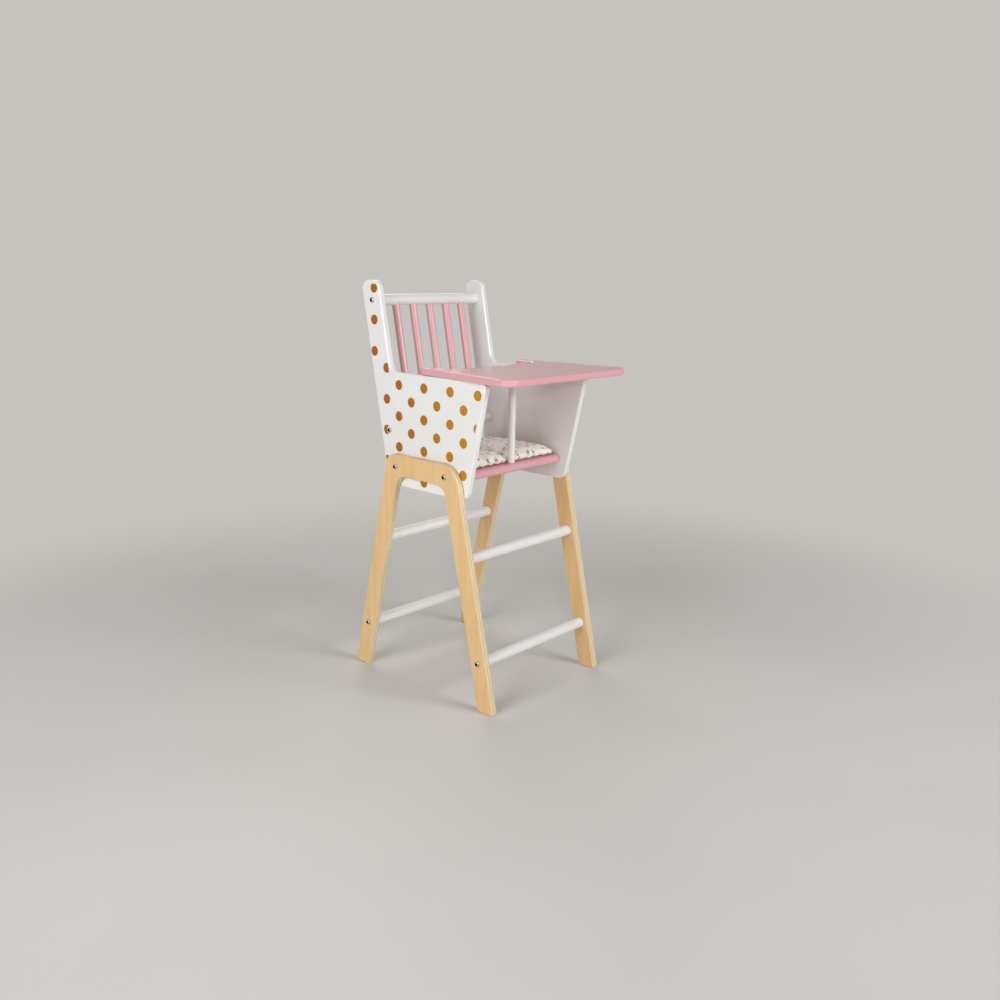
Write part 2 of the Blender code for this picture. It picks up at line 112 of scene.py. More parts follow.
class Shader:
    """A material's node tree, with short calls for the nodes used here."""

    def __init__(self, name):
        self.material = bpy.data.materials.new(name)
        self.material.use_nodes = True
        self.tree = self.material.node_tree
        self.surface = self.tree.nodes["Principled BSDF"]
        coordinates = self.tree.nodes.new("ShaderNodeTexCoord")
        self.place = coordinates.outputs["Object"]
        self.facing = coordinates.outputs["Normal"]

    def node(self, kind, **settings):
        made = self.tree.nodes.new(kind)
        for name, value in settings.items():
            setattr(made, name, value)
        return made

    def feed(self, socket, value):
        if isinstance(value, bpy.types.NodeSocket):
            self.tree.links.new(value, socket)
        else:
            socket.default_value = value

    def calc(self, operation, *values):
        made = self.node("ShaderNodeMath", operation=operation)
        for socket, value in zip(made.inputs, values):
            self.feed(socket, value)
        return made.outputs[0]

    def vector(self, operation, *values):
        made = self.node("ShaderNodeVectorMath", operation=operation)
        for socket, value in zip(made.inputs, values):
            self.feed(socket, value)
        return made.outputs["Value" if operation == "LENGTH" else "Vector"]

    def split(self, vector):
        made = self.node("ShaderNodeSeparateXYZ")
        self.feed(made.inputs[0], vector)
        return made.outputs

    def join(self, *values):
        made = self.node("ShaderNodeCombineXYZ")
        for socket, value in zip(made.inputs, values):
            self.feed(socket, value)
        return made.outputs[0]

    def noise(self, vector, scale, detail=2.0, roughness=0.5, distortion=0.0):
        made = self.node("ShaderNodeTexNoise")
        self.feed(made.inputs["Vector"], vector)
        made.inputs["Scale"].default_value = scale
        made.inputs["Detail"].default_value = detail
        made.inputs["Roughness"].default_value = roughness
        made.inputs["Distortion"].default_value = distortion
        return made.outputs["Fac"]

    def step(self, value, low, high, start=0.0, end=1.0):
        """Smooth ramp from start at low to end at high."""
        made = self.node("ShaderNodeMapRange", interpolation_type="SMOOTHSTEP")
        for socket, given in zip(made.inputs, (value, low, high, start, end)):
            self.feed(socket, given)
        return made.outputs[0]

    def mix(self, share, first, second):
        made = self.node("ShaderNodeMix", data_type="RGBA")
        self.feed(made.inputs[0], share)
        self.feed(made.inputs[mix_first], first)
        self.feed(made.inputs[mix_second], second)
        return made.outputs[mix_result]

    def bump(self, height, distance, below=None):
        made = self.node("ShaderNodeBump")
        made.inputs["Distance"].default_value = distance
        self.feed(made.inputs["Height"], height)
        if below:
            self.feed(made.inputs["Normal"], below)
        return made.outputs[0]

    def finish(self, **sockets):
        for name, value in sockets.items():
            self.feed(self.surface.inputs[name.replace("_", " ")], value)
        return self.material


white = srgb(239, 239, 238)
white_deep = srgb(231, 230, 227)
white_gloss = 0.25
pink = srgb(229, 170, 177)
pink_deep = srgb(221, 158, 166)
pink_gloss = 0.30
coat_roughness = 0.12
grain_across = 300.0
grain_along = 9.0
lacquer_relief = 0.000012


def lacquer_surface(shader, colour, deep, long_axis):
    """Smooth lacquer over wood: colour, roughness and normal."""
    scales = [grain_across] * 3
    scales[long_axis] = grain_along
    grain = shader.noise(shader.vector("MULTIPLY", shader.place, tuple(scales)), 1.0, 3.0, 0.6)
    clouds = shader.noise(shader.place, 9.0, 2.0)
    tone = shader.mix(shader.step(clouds, 0.30, 0.72, 0.0, 0.30), colour, deep)
    tone = shader.mix(shader.step(grain, 0.44, 0.80, 0.0, 0.16), tone, deep)
    peel = shader.noise(shader.place, 420.0, 1.0)
    height = shader.calc("ADD", shader.calc("MULTIPLY", grain, 0.15), peel)
    roughness = shader.step(shader.noise(shader.place, 55.0, 2.0), *noise_span, 0.28, 0.36)
    return tone, roughness, shader.bump(height, lacquer_relief)


def lacquer(name, colour, deep, long_axis, gloss):
    shader = Shader(name)
    tone, roughness, normal = lacquer_surface(shader, colour, deep, long_axis)
    return shader.finish(
        Base_Color=tone,
        Roughness=roughness,
        Normal=normal,
        Coat_Weight=gloss,
        Coat_Roughness=coat_roughness,
    )


def dot_mask(shader, outer_face):
    """Share of print, distance to the nearest dot's middle, and the place's y."""
    x, y, z = shader.split(shader.place)

    def raked_line(edge, lean, height):
        """Place of a leaning edge at this height."""
        return shader.calc("MULTIPLY_ADD", shader.calc("SUBTRACT", height, arm_height), math.tan(lean), edge)

    def rear_inset(across, height):
        """Distance inside the panel's rear edge."""
        return shader.calc("SUBTRACT", raked_line(back_edge_at_arm, back_rake, height), across)

    def post_inset(across, height):
        """Distance inside the post's front edge."""
        return shader.calc("SUBTRACT", across, raked_line(back_edge_at_arm - post_depth, back_rake, height))

    def within(radius, distance):
        return shader.step(distance, radius - dot_soft_edge, radius + dot_soft_edge, 1.0, 0.0)

    def from_point(place):
        return shader.vector("LENGTH", shader.join(0.0, shader.calc("SUBTRACT", y, place[0]),
                                                   shader.calc("SUBTRACT", z, place[1])))

    wander = shader.step(shader.noise(shader.place, 700.0, 2.0), *noise_span, -dot_waver, dot_waver)
    mask = 0.0
    reach = 1.0
    for shift in (0.0, 0.5):
        gaps = []
        middles = []
        for value, start, pitch in ((y, dot_start[0], dot_pitch_y), (z, dot_start[1], dot_pitch_z)):
            offset = shader.calc("SUBTRACT", value, start + shift * pitch)
            gaps.append(shader.calc("WRAP", offset, pitch / 2, -pitch / 2))
            middles.append(shader.calc("SUBTRACT", value, gaps[-1]))
        distance = shader.calc("ADD", shader.vector("LENGTH", shader.join(0.0, *gaps)), wander)
        below_arm = shader.calc("SUBTRACT", arm_height, middles[1])
        before_post = shader.calc("MAXIMUM", post_inset(*middles), below_arm)
        least = shader.calc("MINIMUM", rear_inset(*middles), before_post)
        kept = shader.calc("GREATER_THAN", least, least_dot_inset)
        mask = shader.calc("MAXIMUM", mask, shader.calc("MULTIPLY", within(dot_radius, distance), kept))
        reach = shader.calc("MINIMUM", reach, distance)

    front = shader.calc("SUBTRACT", y, raked_line(back_edge_at_arm - arm_length, -front_rake, z))
    fillet = shader.calc("SUBTRACT", from_point(arm_fillet_centre), arm_fillet)
    arm_or_post = shader.calc("MAXIMUM", post_inset(y, z), shader.calc("SUBTRACT", arm_height, z))
    arm_or_post = shader.calc("MINIMUM", arm_or_post, fillet)
    low, high = outer_face[1], outer_face[2]
    edges = (
        (rear_inset(y, z), rear_margin),
        (front, front_margin),
        (arm_or_post, post_margin),
        (shader.calc("SUBTRACT", z, low), end_margin),
        (shader.calc("SUBTRACT", high, z), end_margin),
    )
    outside = 0.0
    for inward, margin in edges:
        over = shader.calc("MAXIMUM", shader.calc("SUBTRACT", margin + print_corner, inward), 0.0)
        outside = shader.calc("MULTIPLY_ADD", over, over, outside)
    limits = (
        within(print_corner, shader.calc("SQRT", outside)),
        shader.calc("SUBTRACT", 1.0, within(screw_halo, from_point(rail_screw))),
        shader.step(shader.calc("ABSOLUTE", x), *(outer_face[0] - inset for inset in print_fade)),
    )
    for limit in limits:
        mask = shader.calc("MULTIPLY", mask, limit)
    return mask, reach, y


def dotted_lacquer():
    shader = Shader("white_lacquer_dotted")
    low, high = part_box("left_side_panel")
    tone, roughness, normal = lacquer_surface(shader, white, white_deep, 2)
    mask, reach, y = dot_mask(shader, (-low.x, low.z, high.z))
    # Painted reflection: gold at the front shading to copper at the rear, in place of the ink's changing
    # sheen
    ink = shader.mix(shader.step(y, *painted_sheen_span), srgb(222, 158, 16), srgb(196, 110, 20))
    flakes = shader.noise(shader.place, 1500.0, 3.0)
    ink = shader.mix(shader.step(flakes, 0.42, 0.75, 0.0, 0.35), ink, srgb(160, 92, 18))
    ink = shader.mix(shader.step(reach, dot_radius * 0.80, dot_radius, 0.0, 0.45), ink, srgb(150, 84, 16))
    tone = shader.mix(mask, tone, ink)
    raised = shader.bump(shader.calc("MULTIPLY_ADD", flakes, 0.3, mask), ink_relief, normal)
    gold_rough = shader.step(flakes, *noise_span, 0.34, 0.46)
    rough = shader.calc("ADD", shader.calc("MULTIPLY", mask, gold_rough),
                        shader.calc("MULTIPLY", shader.calc("SUBTRACT", 1.0, mask), roughness))
    return shader.finish(
        Base_Color=tone,
        Roughness=rough,
        Metallic=shader.calc("MULTIPLY", mask, ink_metallic),
        Normal=raised,
        Coat_Weight=shader.calc("MULTIPLY_ADD", mask, -white_gloss, white_gloss),
        Coat_Roughness=coat_roughness,
    )


plies = 5
ply_waver = 0.00012
fibre_sway = 0.020
ply_relief = 0.00005
bare_wood_relief = 0.00006
steel_relief = 0.00001


def birch_ply(low, high):
    """Lacquered birch ply: veneer on the faces, layers on the edges."""
    shader = Shader("birch_ply")
    x, y, z = shader.split(shader.place)
    bend = shader.calc("MULTIPLY", shader.noise(shader.place, 9.0, 2.0), fibre_sway)
    swayed = shader.join(x, shader.calc("ADD", y, bend), z)
    fibres = shader.noise(shader.vector("MULTIPLY", swayed, (300.0, 1500.0, 26.0)), 1.0, 3.0, 0.55)
    flame = shader.noise(shader.vector("MULTIPLY", swayed, (40.0, 95.0, 5.0)), 1.0, 4.0, 0.55, 1.2)
    pores = shader.noise(shader.vector("MULTIPLY", swayed, (500.0, 2600.0, 95.0)), 1.0, 1.0)
    clouds = shader.noise(shader.place, 11.0, 2.0)
    face = shader.mix(shader.step(flame, 0.34, 0.68), srgb(236, 198, 144), srgb(229, 186, 128))
    face = shader.mix(shader.step(fibres, 0.45, 0.75, 0.0, 0.40), face, srgb(213, 164, 106))
    face = shader.mix(shader.step(pores, 0.68, 0.78, 0.0, 0.50), face, srgb(182, 130, 78))
    face = shader.mix(shader.step(clouds, 0.40, 0.70, 0.0, 0.30), face, srgb(240, 206, 152))

    ply = (high - low) / plies
    depth = shader.calc("SUBTRACT", shader.calc("ABSOLUTE", x), low)
    waver = shader.step(shader.noise(shader.place, 45.0, 2.0), *noise_span, -ply_waver, ply_waver)
    layer = shader.calc("DIVIDE", shader.calc("ADD", depth, waver), ply)
    odd = shader.calc("PINGPONG", layer, 1.0)
    crossed = shader.step(odd, 0.36, 0.64)
    seam = shader.step(shader.calc("PINGPONG", shader.calc("ADD", layer, 0.5), 0.5), 0.0, 0.12, 1.0, 0.0)
    ends = shader.noise(shader.place, 1300.0, 2.0)
    along = shader.noise(shader.vector("MULTIPLY", shader.place, (1100.0, 60.0, 30.0)), 1.0, 2.0)
    light_ply = shader.mix(shader.step(along, 0.40, 0.75), srgb(240, 225, 192), srgb(228, 207, 167))
    end_grain = shader.mix(shader.step(ends, 0.45, 0.75), srgb(222, 198, 156), srgb(196, 164, 118))
    edge = shader.mix(crossed, light_ply, end_grain)
    edge = shader.mix(shader.calc("MULTIPLY", seam, 0.40), edge, srgb(166, 128, 86))
    facing_x = shader.calc("ABSOLUTE", shader.split(shader.facing)[0])
    on_edge = shader.step(facing_x, 0.55, 0.85, 1.0, 0.0)
    colour = shader.mix(on_edge, face, edge)

    height = shader.calc("SUBTRACT", fibres, shader.calc("MULTIPLY", pores, 0.5))
    rough = shader.step(shader.noise(shader.place, 70.0, 3.0), *noise_span, 0.36, 0.48)
    return shader.finish(
        Base_Color=colour,
        Roughness=shader.calc("MULTIPLY_ADD", on_edge, 0.12, rough),
        Normal=shader.bump(height, ply_relief),
        Coat_Weight=0.15,
        Coat_Roughness=0.25,
    )


def bare_wood():
    shader = Shader("bare_wood")
    grain = shader.noise(shader.vector("MULTIPLY", shader.place, (1500.0, 1500.0, 60.0)), 1.0, 3.0)
    colour = shader.mix(shader.step(grain, 0.4, 0.7), srgb(228, 194, 146), srgb(196, 152, 100))
    return shader.finish(
        Base_Color=colour,
        Roughness=shader.step(grain, *noise_span, 0.55, 0.7),
        Normal=shader.bump(grain, bare_wood_relief),
    )


def bright_steel():
    shader = Shader("bright_steel")
    haze = shader.noise(shader.place, 900.0, 4.0)
    scratches = shader.noise(shader.vector("MULTIPLY", shader.place, (400.0, 6000.0, 900.0)), 1.0, 2.0)
    colour = shader.mix(shader.step(haze, 0.40, 0.75), srgb(196, 200, 206), srgb(166, 170, 177))
    # Painted shade: the socket's inside is coloured near black in place of its shadow
    painted_socket_shade = shader.node("ShaderNodeAttribute", attribute_name="painted_socket_shade").outputs["Fac"]
    colour = shader.mix(painted_socket_shade, colour, srgb(34, 37, 42))
    return shader.finish(
        Base_Color=colour,
        Metallic=1.0,
        Roughness=shader.step(haze, *noise_span, 0.15, 0.28),
        Normal=shader.bump(scratches, steel_relief),
    )


# Print on the cushion: leaves have a shift along and across the sprig, a half length and a half width
print_cell = 0.0168
print_scatter = 0.50
sprig_leaves = (
    (0.0003, 0.0, 0.0027, 0.00105),
    (-0.0004, 0.0027, 0.0020, 0.00095),
    (0.0006, -0.0026, 0.0021, 0.00095),
)
spot_radius = 0.0024
spot_from = 0.72
rose_from = 0.74
leaf_edge = (0.85, 1.05)
ink_cover = 0.94
cotton_thread = 0.00042
cotton_relief = 0.00010
stitch_relief = 0.00008


def printed_cotton():
    """White cotton with a small printed sprig, on the cloth's own coordinates."""
    shader = Shader("printed_cotton")
    attribute = shader.node("ShaderNodeAttribute", attribute_name="cloth")
    cloth = attribute.outputs["Vector"]
    u, v, _ = shader.split(cloth)

    at_cell = shader.vector("MULTIPLY", cloth, (1 / print_cell,) * 3)
    cells = shader.node("ShaderNodeTexVoronoi", voronoi_dimensions="2D")
    cells.inputs["Scale"].default_value = 1.0
    cells.inputs["Randomness"].default_value = print_scatter
    shader.feed(cells.inputs["Vector"], at_cell)
    offset = shader.vector("SUBTRACT", at_cell, cells.outputs["Position"])
    offset_x, offset_y, _ = shader.split(offset)
    turn_pick, kind, colour_pick = shader.split(cells.outputs["Color"])
    turn = shader.calc("MULTIPLY", turn_pick, math.tau)
    cosine = shader.calc("COSINE", turn)
    sine = shader.calc("SINE", turn)
    along = shader.calc(
        "ADD",
        shader.calc("MULTIPLY", offset_x, cosine),
        shader.calc("MULTIPLY", offset_y, sine),
    )
    across = shader.calc(
        "SUBTRACT",
        shader.calc("MULTIPLY", offset_y, cosine),
        shader.calc("MULTIPLY", offset_x, sine),
    )

    def centred(value, shift, half):
        """A coordinate from the leaf's middle, 1 at its edge."""
        return shader.calc("DIVIDE", shader.calc("SUBTRACT", value, shift / print_cell), half / print_cell)

    def leaf(shift_along, shift_across, half_length, half_width):
        local = shader.join(
            centred(along, shift_along, half_length),
            centred(across, shift_across, half_width),
            0.0,
        )
        return shader.step(shader.vector("LENGTH", local), *leaf_edge, 1.0, 0.0)

    sprig = 0.0
    for measures in sprig_leaves:
        sprig = shader.calc("MAXIMUM", sprig, leaf(*measures))
    spot = leaf(0.0, 0.0, spot_radius, spot_radius)
    is_spot = shader.calc("GREATER_THAN", kind, spot_from)
    is_rose = shader.calc("GREATER_THAN", colour_pick, rose_from)
    mark = shader.calc(
        "ADD",
        shader.calc("MULTIPLY", spot, is_spot),
        shader.calc("MULTIPLY", sprig, shader.calc("SUBTRACT", 1.0, is_spot)),
    )
    ink = shader.mix(is_rose, srgb(86, 77, 76), srgb(190, 120, 112))
    ink = shader.mix(is_spot, ink, srgb(186, 134, 34))

    warp = shader.calc("SINE", shader.calc("MULTIPLY", u, math.tau / cotton_thread))
    weft = shader.calc("SINE", shader.calc("MULTIPLY", v, math.tau / cotton_thread))
    weave = shader.calc("MULTIPLY", warp, weft)
    slub = shader.noise(shader.vector("MULTIPLY", cloth, (420.0, 2400.0, 1.0)), 1.0, 3.0)
    clouds = shader.noise(shader.place, 60.0, 3.0)
    tone = shader.mix(shader.step(clouds, 0.35, 0.70, 0.0, 0.6), srgb(250, 247, 242), srgb(244, 240, 234))
    tone = shader.mix(shader.step(weave, -0.2, 1.0, 0.0, 0.12), tone, srgb(228, 222, 214))
    tone = shader.mix(shader.step(slub, 0.50, 0.80, 0.0, 0.20), tone, srgb(234, 228, 220))
    tone = shader.mix(shader.calc("MULTIPLY", mark, ink_cover), tone, ink)
    height = shader.calc("ADD", shader.calc("MULTIPLY", weave, 0.5), slub)
    return shader.finish(
        Base_Color=tone,
        Roughness=shader.step(slub, *noise_span, 0.82, 0.94),
        Normal=shader.bump(height, cotton_relief),
        Sheen_Weight=0.15,
        Sheen_Roughness=0.5,
    )


def thread_material():
    shader = Shader("stitch_thread")
    twist = shader.noise(shader.vector("MULTIPLY", shader.place, (3000.0, 1800.0, 3000.0)), 1.0, 2.0)
    colour = shader.mix(shader.step(twist, 0.35, 0.65), srgb(240, 236, 230), srgb(208, 200, 192))
    return shader.finish(
        Base_Color=colour,
        Roughness=shader.step(twist, *noise_span, 0.6, 0.8),
        Normal=shader.bump(twist, stitch_relief),
    )


def dress(names, finish):
    for name in names:
        for place in frame["nodes"][name].material_slots:
            place.material = finish


white_across = lacquer("white_lacquer_across", white, white_deep, 0, white_gloss)
white_upright = lacquer("white_lacquer_upright", white, white_deep, 2, white_gloss)
pink_across = lacquer("pink_lacquer_across", pink, pink_deep, 0, pink_gloss)
pink_upright = lacquer("pink_lacquer_upright", pink, pink_deep, 2, pink_gloss)
frame_low, frame_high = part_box("right_leg_frame")
names = list(frame["nodes"])
screws = [name for name in names if name.endswith("_screw")]
dress([name for name in names if name.endswith("_panel")], dotted_lacquer())
dress([name for name in names if name.endswith("_leg_frame")], birch_ply(frame_low.x, frame_high.x))
dress([name for name in names if name.endswith(("_rung", "_rail"))], white_across)
dress(["crotch_post"], white_upright)
dress([name for name in names if name.startswith("back_spindle")], pink_upright)
dress(["tray", "seat_board"], pink_across)
dress([name for name in names if name.endswith("_peg")], bare_wood())
steel = bright_steel()


# Meshes

def add_piece(name, mesh, finish, body):
    mesh.materials.clear()
    mesh.materials.append(finish)
    piece = bpy.data.objects.new(name, mesh)
    bpy.context.scene.collection.objects.link(piece)
    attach(piece, body)
    return piece


def as_mesh(name, shape):
    bmesh.ops.recalc_face_normals(shape, faces=shape.faces)
    mesh = bpy.data.meshes.new(name)
    shape.to_mesh(mesh)
    shape.free()
    mesh.shade_smooth()
    return mesh


# Screws: the same size as the frame's, with a finer head

screw_sides = 48
sharp_from = math.radians(40.0)
head_radius = 0.0039
head_rim = 0.0008
head_rise = 0.0019
shank_radius = 0.0020
tip_length = 0.003
rim_bevel = 0.0003
dome_inset = 0.0001
dome_steps = 6
socket_half = 0.0020
socket_depth = 0.0014
socket_corner_share = 1.16
socket_margin = 0.00015
socket_lip = 0.0001
socket_bevel = 0.0003
socket_floor_share = 0.5
# Rings inside the socket that get the painted shade
shaded_socket_rings = 3


def hexagon_share(turn):
    """Reach of a hexagon in this direction, as a share of half its width."""
    sixth = math.tau / 6
    return 1 / math.cos((turn + sixth / 2) % sixth - sixth / 2)


def screw_shape(name, node):
    """Rings of radius, height over the seat and outline, from the tip to the socket's floor."""
    low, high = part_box(node)
    side = 1 if high.x > 0 else -1
    outer = high.x if side > 0 else -low.x
    seat = outer - head_rise
    tip = low.x if side > 0 else -high.x
    rings = [
        (shank_radius / 2, tip - seat, False),
        (shank_radius, tip - seat + tip_length, False),
        (shank_radius, 0, False),
        (head_radius - rim_bevel, 0, False),
        (head_radius, rim_bevel, False),
        (head_radius, head_rim - rim_bevel, False),
    ]
    mouth = socket_half * socket_corner_share + socket_margin
    for step in range(dome_steps + 1):
        swing = math.radians(90.0) * step / dome_steps
        radius = mouth + (head_radius - dome_inset - mouth) * math.cos(swing)
        rings.append((radius, head_rim + (head_rise - head_rim) * math.sin(swing), False))
    rings += [
        (socket_half, head_rise - socket_lip, True),
        (socket_half, head_rise - socket_bevel, True),
        (socket_half, head_rise - socket_depth, True),
        (socket_half * socket_floor_share, head_rise - socket_depth - socket_bevel, False),
    ]
    shape = bmesh.new()
    previous = None
    for radius, height, hexagonal in rings:
        ring = []
        for step in range(screw_sides):
            turn = math.tau * step / screw_sides
            reach = radius * (hexagon_share(turn) if hexagonal else 1)
            y = (low.y + high.y) / 2 + reach * math.sin(turn)
            z = (low.z + high.z) / 2 + reach * math.cos(turn)
            ring.append(shape.verts.new((side * (seat + height), y, z)))
        if previous:
            for step in range(screw_sides):
                after = (step + 1) % screw_sides
                shape.faces.new((previous[step], previous[after], ring[after], ring[step]))
        else:
            shape.faces.new(ring)
        previous = ring
    shape.faces.new(previous)
    mesh = as_mesh(name, shape)
    mesh.set_sharp_from_angle(angle=sharp_from)
    # Marks the socket's rings for the painted shade in the steel's colour
    painted_socket_shade = mesh.attributes.new("painted_socket_shade", "FLOAT", "POINT")
    deep = [0.0] * (len(rings) - shaded_socket_rings) + [1.0] * shaded_socket_rings
    painted_socket_shade.data.foreach_set("value", [value for value in deep for _ in range(screw_sides)])
    return mesh


for node in screws:
    name = node + "_turned"
    piece = add_piece(name, screw_shape(name, node), steel, "chair_frame")
    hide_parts(node)


# Cushion: two skins sewn at the rim, filled by cloth simulation, with a stitched channel

pad_low, pad_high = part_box("seat_cushion")
post_low, post_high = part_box("crotch_post")
pad_half = pad_high.x
pad_front = pad_low.y
pad_rear = pad_high.y
pad_floor = pad_low.z
pad_top = pad_high.z
pad_columns = 116
pad_rows = 72
pad_margin = 0.0004
corner_ear = 0.0032
corner_round = 0.0030
corner_power = 12
side_power = 4
seam_height = 0.0052
channel_half = 0.0085
post_gap = 0.0012
notch_half = 0.0064

# Gathers along the seam
gather = 0.0135
gather_lean = (0.97, 0.31)
gather_waver = 0.0021
gather_waver_rate = 61.0
gather_power = 0.7
gather_rise = 0.0022
gather_pull = 0.0013
gather_reach = 0.010
pucker_rise = 0.0012
pucker_start = 0.004

# Crease from the post's notch to each side
crease_start = 0.004
crease_fade = 0.006
crease_front = 0.007
crease_sweep = 0.020
crease_bend = 0.016
crease_half = 0.0036
crease_depth = 0.0028
right_crease_share = 0.35

# Skins before the filling, and the cloth that they are cut from
crown_width = 0.014
start_crown = 0.0060
start_belly = 0.0036
channel_dip = 0.0016
channel_lift = 0.0020
start_jitter = 0.00025
jitter_seed = 7
cloth_ease = (1.02, 1.04)
under_cloth_shift = 0.4

# Room for the filled skins
fill_frames = 24
front_play = 0.0002
side_taper = 0.0130
side_height_share = 0.35
post_gap_share = 0.6
least_height = 0.0012
least_height_ease = 0.004
free_height = 0.0105
seam_crease = 0.75


def channel(x):
    return math.exp(-((x / channel_half) ** 2))


def pad_place(u, v):
    """Plan point from shares across (-1 to 1) and front to rear (-1 to 1)."""
    corner = corner_round * (u * v) ** corner_power
    x = u * (pad_half - pad_margin - corner_ear * (1 - v ** side_power) - corner)
    pulled = corner_ear * (1 - u ** side_power)
    notch = post_high.y + post_gap - pad_front - corner_ear
    front = pad_front + notch * math.exp(-((x / notch_half) ** 2)) + pulled + corner
    rear = pad_rear - pad_margin - pulled - corner
    front += gather_pull * (1 - gathers(x, front))
    rear -= gather_pull * (1 - gathers(x, rear))
    return x, front + (rear - front) * (1 + v) / 2


def gathers(x, y):
    """From 0 where the gathered seam is pulled up to 1 where it sags between."""
    across, forward = gather_lean
    along = (x * across + y * forward + gather_waver * math.sin(x * gather_waver_rate)) / gather
    return abs(math.cos(math.pi * along)) ** gather_power


def crease(x, y):
    """A crease from the post's notch to the side, deeper in the left lobe."""
    outward = max(0.0, abs(x) - crease_start)
    middle = pad_front + crease_front + crease_sweep * (1 - math.exp(-outward / crease_bend))
    lobe = 1.0 if x < 0 else right_crease_share
    return lobe * math.exp(-(((y - middle) / crease_half) ** 2)) * min(1.0, outward / crease_fade)


def pad_fullness(u, v):
    """From 0 at the seam and along the channel to 1 where a lobe is full."""
    share = 1.0
    for place, half in ((u, pad_half), (v, (pad_rear - pad_front) / 2)):
        inward = min(1.0, (1 - abs(place)) * half / crown_width)
        share *= math.sqrt(1 - (1 - inward) ** 2)
    return share * (1 - channel(u * pad_half))


def cushion_mesh():
    """The cushion before it is filled, its seam and its sewn line."""
    shape = bmesh.new()
    chance = random.Random(jitter_seed)
    skins = {}
    cloth = []
    for row in range(pad_rows + 1):
        for column in range(pad_columns + 1):
            u = 2 * column / pad_columns - 1
            v = 2 * row / pad_rows - 1
            x, y = pad_place(u, v)
            full = pad_fullness(u, v)
            on_seam = row in (0, pad_rows) or column in (0, pad_columns)
            jitter = 0 if on_seam else chance.uniform(-start_jitter, start_jitter)
            dip = channel(x) * channel_dip + crease(x, y) * crease_depth
            inward = min((1 - abs(u)) * pad_half, (1 - abs(v)) * (pad_rear - pad_front) / 2)
            rim = math.exp(-((inward / gather_reach) ** 2))
            seam = seam_height + gather_rise * (0.5 - gathers(x, y)) * rim
            pucker = pucker_rise * gathers(x, y) * rim * min(1.0, inward / pucker_start)
            top = seam + start_crown * full + pucker - dip + jitter
            low = seam - start_belly * full - channel(x) * channel_lift + jitter
            cloth_x = u * pad_half * cloth_ease[0]
            cloth_y = v * (pad_rear - pad_front) / 2 * cloth_ease[1]
            upper = shape.verts.new((x, y, pad_floor + top))
            cloth.append((cloth_x, cloth_y, 0.0))
            lower = upper
            if not on_seam:
                lower = shape.verts.new((x, y, pad_floor + low))
                cloth.append((cloth_x + under_cloth_shift, cloth_y, 0.0))
            skins[row, column] = (upper, lower)
    corners = [(row, column) for row in (0, pad_rows) for column in (0, pad_columns)]
    for row in range(pad_rows):
        for column in range(pad_columns):
            ring = [(row, column), (row, column + 1), (row + 1, column + 1), (row + 1, column)]
            outlines = [ring]
            for first, spot in enumerate(ring):
                if spot in corners:
                    # Cut from the corner inward, so that the skins share no triangle there
                    turned = ring[first:] + ring[:first]
                    outlines = [turned[:3], [turned[0], turned[2], turned[3]]]
            for outline in outlines:
                for skin in (0, 1):
                    shape.faces.new([skins[spot][skin] for spot in outline])
    shape.verts.index_update()
    seam = []
    sewn = []
    for (row, column), (upper, lower) in skins.items():
        if row in (0, pad_rows) or column in (0, pad_columns):
            seam.append(upper.index)
        elif column == pad_columns // 2:
            sewn.append((upper.index, lower.index))
    mesh = as_mesh("seat_pad", shape)
    layer = mesh.attributes.new("cloth", "FLOAT_VECTOR", "POINT")
    layer.data.foreach_set("vector", [value for point in cloth for value in point])
    return mesh, seam, sewn


def fill_cushion(piece, seam, sewn):
    """Swell the skins with pressure; the seam and the sewn line stay."""
    pins = piece.vertex_groups.new(name="sewn")
    pins.add(seam, 1.0, "REPLACE")
    pins.add([index for pair in sewn for index in pair], 1.0, "REPLACE")
    modifier = piece.modifiers.new("filling", "CLOTH")
    cloth = modifier.settings
    cloth.quality = 6
    cloth.mass = 0.12
    cloth.tension_stiffness = 18
    cloth.compression_stiffness = 14
    cloth.shear_stiffness = 6
    cloth.bending_stiffness = 0.03
    cloth.tension_damping = 12
    cloth.compression_damping = 12
    cloth.vertex_group_mass = "sewn"
    cloth.shrink_min = -0.085
    cloth.use_pressure = True
    cloth.uniform_pressure_force = 3.6
    cloth.effector_weights.gravity = 0
    modifier.collision_settings.use_collision = False
    modifier.collision_settings.use_self_collision = False
    scene = bpy.context.scene
    modifier.point_cache.frame_start = 1
    modifier.point_cache.frame_end = fill_frames
    for number in range(1, fill_frames + 1):
        scene.frame_set(number)
    evaluated = piece.evaluated_get(bpy.context.evaluated_depsgraph_get())
    points = [vertex.co.copy() for vertex in evaluated.data.vertices]
    piece.modifiers.remove(modifier)
    piece.vertex_groups.clear()
    scene.frame_set(1)
    return points


def settle(points):
    """Keep the filled skins on the seat, off the post and under the pad's height."""
    over = pad_top - pad_floor - free_height
    post_y = (post_low.y + post_high.y) / 2
    clear = crotch_post_radius + post_gap * post_gap_share
    settled = []
    for point in points:
        x = max(-pad_half, min(pad_half, point.x))
        y = max(pad_front + front_play, min(pad_rear, point.y))
        side = max(0.0, min(1.0, (pad_half - abs(x)) / side_taper))
        taper = side_height_share + (1 - side_height_share) * math.sin(math.pi / 2 * side)
        height = seam_height + (point.z - pad_floor - seam_height) * taper
        if height < least_height:
            height = least_height * math.exp((height - least_height) / least_height_ease)
        if height > free_height:
            height = free_height + over * math.tanh((height - free_height) / over)
        near = Vector((x, y - post_y))
        if near.length < clear:
            near = near.normalized() * clear
            x, y = near.x, near.y + post_y
        settled.append(Vector((x, y, pad_floor + height)))
    return settled


def mark_seam(mesh, seam):
    """Keep the seam crisp where the skins are smoothed."""
    rim = set(seam)
    layer = mesh.attributes.new("crease_edge", "FLOAT", "EDGE")
    layer.data.foreach_set("value", [seam_crease * rim.issuperset(edge.vertices) for edge in mesh.edges])


# Stitches along the channel

